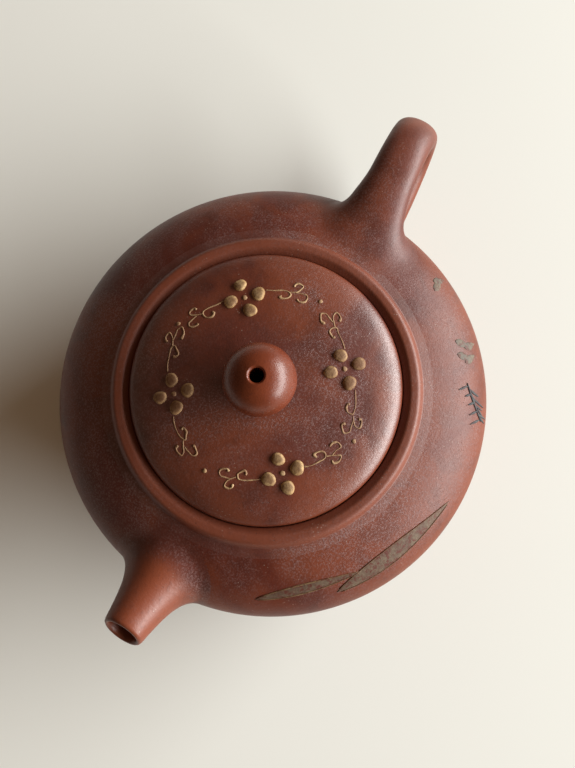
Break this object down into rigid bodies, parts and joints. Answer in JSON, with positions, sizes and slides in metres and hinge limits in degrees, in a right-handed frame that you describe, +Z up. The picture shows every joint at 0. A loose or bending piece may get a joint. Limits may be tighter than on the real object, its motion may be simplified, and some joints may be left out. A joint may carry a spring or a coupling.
{
  "type": "clay teapot",
  "caption": "Round unglazed clay teapot with an inset domed lid, a ball knob, a short straight spout and an ear handle.",
  "frame": {"origin": "on the pot's axis of revolution at the plane of the foot ring's rest face", "axes": "+Z up along the pot's axis, +X toward the spout, -X toward the handle, +Y to the left when looking along +X with +Z up"},
  "size_m": [0.1585, 0.115, 0.0589],
  "materials": {
    "clay_body": "matt unglazed, fine grained, dusty on top",
    "clay_handled": "unglazed, satin from handling",
    "slip_ochre": "matt slip",
    "slip_grey_green": "matt slip",
    "slip_slate": "matt slip"
  },
  "bodies": {
    "pot": {"foot_ring": "clay_body", "base_disc": "clay_body", "belly_wall": "clay_body", "shoulder_disc": "clay_body", "neck_ring": "clay_handled", "spout": "clay_handled", "handle": "clay_handled", "leaf_blades": "slip_grey_green", "leaf_veins": "slip_ochre", "needle_sprig": "slip_slate", "foliage_tufts": "slip_grey_green"},
    "lid": {"lid_disc": "clay_body", "lid_flange": "clay_body", "lid_knob": "clay_handled", "blossom_petals": "slip_ochre", "blossom_hearts": "slip_ochre", "lid_vines": "slip_ochre", "lid_dots": "slip_ochre"}
  },
  "joints": [
    {"name": "lid_lift", "type": "slide", "parent": "pot", "child": "lid", "axis": [0, 0, 1], "range_m": [0, 0.045]}
  ]
}
